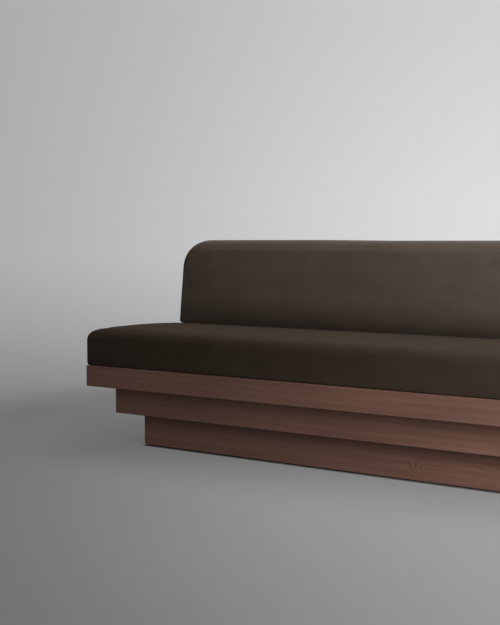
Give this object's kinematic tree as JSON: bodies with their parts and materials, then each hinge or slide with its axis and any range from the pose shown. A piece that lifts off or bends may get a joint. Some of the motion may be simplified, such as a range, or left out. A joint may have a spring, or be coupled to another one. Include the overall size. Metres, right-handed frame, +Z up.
{
  "type": "platform sofa",
  "caption": "Long low sofa with a full-depth upholstered seat and a low upholstered back on a stepped, inset timber plinth.",
  "frame": {"origin": "on the floor, under the middle of the sofa", "axes": "+X along the length, +Y from the front to the back, +Z up; the front faces -Y"},
  "size_m": [2.402, 0.782, 0.7115],
  "materials": {
    "stained_wood": "satin, reddish-brown stain over long grain",
    "upholstery": "matte brushed dark brown",
    "raw_timber": "sawn softwood",
    "plywood": "raw plywood",
    "foam": "open-cell foam",
    "zinc_steel": "zinc plated",
    "glide_plastic": "moulded, matte"
  },
  "bodies": {
    "root": {"back_bolt_1": "zinc_steel", "back_bolt_2": "zinc_steel", "back_bolt_3": "zinc_steel", "back_bolt_4": "zinc_steel", "back_bottom_rail": "raw_timber", "back_cover": "upholstery", "back_foam": "foam", "back_front_panel": "plywood", "back_left_corner_block": "raw_timber", "back_rear_panel": "plywood", "back_right_corner_block": "raw_timber", "back_top_rail": "raw_timber", "back_upright_1": "plywood", "back_upright_2": "plywood", "back_upright_3": "plywood", "back_upright_4": "plywood", "bottom_tier_back_board": "stained_wood", "bottom_tier_front_board": "stained_wood", "bottom_tier_left_board": "stained_wood", "bottom_tier_right_board": "stained_wood", "front_left_corner_block": "raw_timber", "front_right_corner_block": "raw_timber", "glide_1": "glide_plastic", "glide_2": "glide_plastic", "glide_3": "glide_plastic", "glide_4": "glide_plastic", "glide_5": "glide_plastic", "glide_6": "glide_plastic", "middle_tier_back_board": "stained_wood", "middle_tier_back_soffit": "plywood", "middle_tier_front_board": "stained_wood", "middle_tier_front_soffit": "plywood", "middle_tier_left_board": "stained_wood", "middle_tier_left_soffit": "plywood", "middle_tier_right_board": "stained_wood", "middle_tier_right_soffit": "plywood", "nut_plate_1": "zinc_steel", "nut_plate_2": "zinc_steel", "plinth_front_rail": "raw_timber", "plinth_rear_rail": "raw_timber", "plinth_rib_1": "plywood", "plinth_rib_2": "plywood", "plinth_rib_3": "plywood", "plinth_rib_4": "plywood", "plinth_rib_5": "plywood", "seat_board": "plywood", "seat_cover": "upholstery", "seat_foam": "foam", "spacer_tube_1": "zinc_steel", "spacer_tube_2": "zinc_steel", "spacer_tube_3": "zinc_steel", "spacer_tube_4": "zinc_steel", "top_tier_back_board": "stained_wood", "top_tier_back_soffit": "plywood", "top_tier_front_board": "stained_wood", "top_tier_front_soffit": "plywood", "top_tier_left_board": "stained_wood", "top_tier_left_soffit": "plywood", "top_tier_right_board": "stained_wood", "top_tier_right_soffit": "plywood"}
  },
  "joints": []
}
